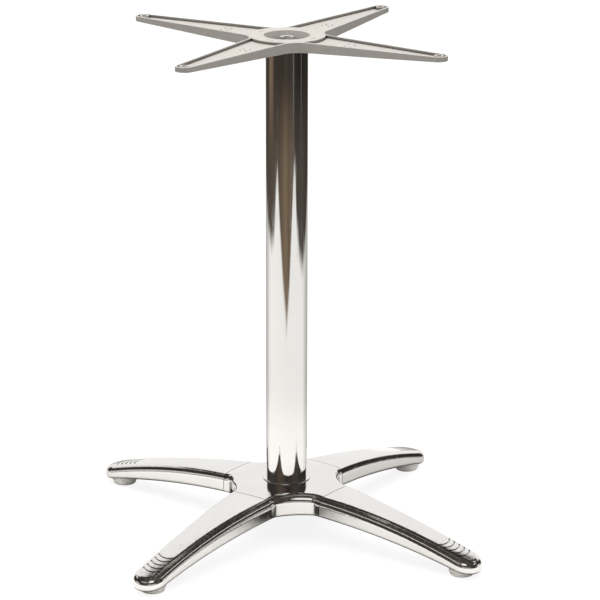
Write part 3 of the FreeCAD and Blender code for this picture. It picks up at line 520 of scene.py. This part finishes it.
# %% [markdown]
# ## Chromed column
# The column is a drawn steel tube, polished and chromed. It is the smoothest surface on the base,
# with the finest lines along its length that the draw left. They could be an anisotropic gloss,
# but a noise stretched along the height also breaks the bright edges up a little, as the real
# tube does.

# %% Chromed column
DRAWN_LENGTHWISE = (1400.0, 1400.0, 3.0)
DRAW_DEPTH = 0.000004
chrome, tree, shader, where, clouds, scratches = start_finish(
    "chromed_tube", 1.0, (0.032, 0.056), 0.09, scratch_spacing=0.0016, scratch_change=0.06
)
tint = ramp(tree, clouds, [(0.3, (0.875, 0.870, 0.860)), (0.7, (0.915, 0.910, 0.900))])
colour_surface(tree, shader, tint)
lengthwise = {0: where, 1: DRAWN_LENGTHWISE}
stretched = add(tree, "ShaderNodeVectorMath", lengthwise, operation="MULTIPLY").outputs[0]
draw_lines = noise_over(tree, stretched, 1.0, 3.0)
marked = maths(tree, "SUBTRACT", draw_lines, maths(tree, "MULTIPLY", scratches, 0.6))
raise_surface(tree, shader, marked, DRAW_DEPTH)
dress(chrome, ["column_tube"])

# %% [markdown]
# ## Buffed castings
# The hub and the legs are cast aluminium, ground and buffed to a mirror. A buffed casting isn't as
# flat as a tube: it keeps a soft unevenness, which bends the reflections, and hair-fine marks from
# the wheel. The joint lines and the grip grooves are darkened with painted shade, so the narrow
# places are dark.

# %% Buffed castings
GROOVE_REACH = 0.003
GROOVE_PAINTED_SHADE = (0.035, 0.032, 0.029)
SWELL_DEPTH, WHEEL_SHARE = 0.0005, 0.012
buffed, tree, shader, where, clouds, scratches = start_finish(
    "buffed_casting", 1.0, (0.045, 0.095), 0.05, scratch_spacing=0.0013, scratch_change=0.11
)
tint = ramp(tree, clouds, [(0.3, (0.855, 0.842, 0.828)), (0.7, (0.900, 0.890, 0.880))])
# painted shade: grooves and joint lines narrower than the groove reach turn dark
unshaded_metal = soft_step(tree, openness(tree, GROOVE_REACH), 0.45, 0.80)
colour_surface(tree, shader, blend_colours(tree, unshaded_metal, GROOVE_PAINTED_SHADE, tint))
wheel_marks = noise_over(tree, where, 900.0, 5.0)
swell = noise_over(tree, where, 22.0, 1.0)
marked = maths(tree, "SUBTRACT", wheel_marks, maths(tree, "MULTIPLY", scratches, 0.8))
fine = maths(tree, "MULTIPLY", marked, WHEEL_SHARE)
raise_surface(tree, shader, maths(tree, "ADD", fine, swell), SWELL_DEPTH)
legs = [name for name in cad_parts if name.startswith("leg_") and name.count("_") == 2]
dress(buffed, ["hub", *legs])

# %% [markdown]
# ## Sand-cast spider
# The spider under the table top is left as it came from the mould: a matt warm grey with a fine
# grain. One noise makes the sand and a scatter of cells makes the pits. Corners and the small
# cast marks hold dust and see less light, so painted dust and shade tone them down in two steps,
# a wide soft one and a narrow one. A scratch on a matt skin is brighter and glossier than what is
# round it, so here the change in gloss is the other way.

# %% Sand-cast spider
CORNER_REACH, MOUTH_REACH = 0.03, 0.003
SHADED_CASTING, MOUTH_SHADE = (0.25, 0.235, 0.22), (0.09, 0.084, 0.077)
GRAIN_DEPTH = 0.00012
cast, tree, shader, where, _, scratches = start_finish(
    "sand_cast_grey", 0.25, (0.46, 0.60), 0.02, scratch_spacing=0.0020, scratch_change=-0.12
)
sand = noise_over(tree, where, 1500.0, 3.0)
skin = ramp(tree, sand, [(0.35, (0.59, 0.56, 0.525)), (0.65, (0.71, 0.68, 0.645))])
rubbed = maths(tree, "MULTIPLY", scratches, 0.20)
tint = blend_colours(tree, rubbed, skin, (0.80, 0.78, 0.75))
# painted dust and shade: corners darken in a wide soft step, and the small cast marks in a narrow
# one
clear = soft_step(tree, openness(tree, CORNER_REACH), 0.30, 0.98)
toned = blend_colours(tree, clear, SHADED_CASTING, tint)
open_mouth = soft_step(tree, openness(tree, MOUTH_REACH), 0.50, 0.92)
colour_surface(tree, shader, blend_colours(tree, open_mouth, MOUTH_SHADE, toned))
cells = {"Vector": where, "Scale": 420.0}
pits = add(tree, "ShaderNodeTexVoronoi", cells).outputs["Distance"]
grain = maths(tree, "ADD", sand, maths(tree, "MULTIPLY", pits, 0.6))
raise_surface(tree, shader, grain, GRAIN_DEPTH)
dress(cast, ["spider"])

# %% [markdown]
# ## Plated fasteners
# The rod, nuts, washers and screws are zinc plated steel, duller than chrome and slightly yellow.
# The plating grows in small crystals, so the clouds in its gloss are only a few millimetres wide.

# %% Plated fasteners
FASTENER_WORDS = ("screw", "washer", "nut", "rod", "stem")
CRYSTAL_DEPTH = 0.00003
plated, tree, shader, where, clouds, scratches = start_finish(
    "zinc_plate", 1.0, (0.20, 0.34), 0.004, scratch_spacing=0.0006, scratch_change=0.10
)
tint = ramp(tree, clouds, [(0.3, (0.60, 0.59, 0.55)), (0.7, (0.76, 0.75, 0.71))])
colour_surface(tree, shader, tint)
speckle = noise_over(tree, where, 2500.0, 2.0)
raise_surface(tree, shader, maths(tree, "SUBTRACT", speckle, scratches), CRYSTAL_DEPTH)
fasteners = [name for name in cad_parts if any(word in name for word in FASTENER_WORDS)]
dress(plated, fasteners)

# %% [markdown]
# ## Foot plastic
# The levelling feet are moulded in grey plastic with a soft sheen and a faint grain. Plastic is
# softer than the metals, so a scuff from the floor is duller there and cuts a little deeper.

# %% Foot plastic
SCUFF_DEPTH = 0.00005
plastic, tree, shader, where, clouds, scratches = start_finish(
    "grey_foot_plastic", 0.0, (0.34, 0.48), 0.01, scratch_spacing=0.0008, scratch_change=0.12
)
tint = ramp(tree, clouds, [(0.3, (0.82, 0.81, 0.78)), (0.7, (0.90, 0.89, 0.86))])
colour_surface(tree, shader, tint)
grain = noise_over(tree, where, 1800.0, 2.0)
raise_surface(tree, shader, maths(tree, "SUBTRACT", grain, scratches), SCUFF_DEPTH)
dress(plastic, [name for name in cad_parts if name.startswith("foot_pad")])
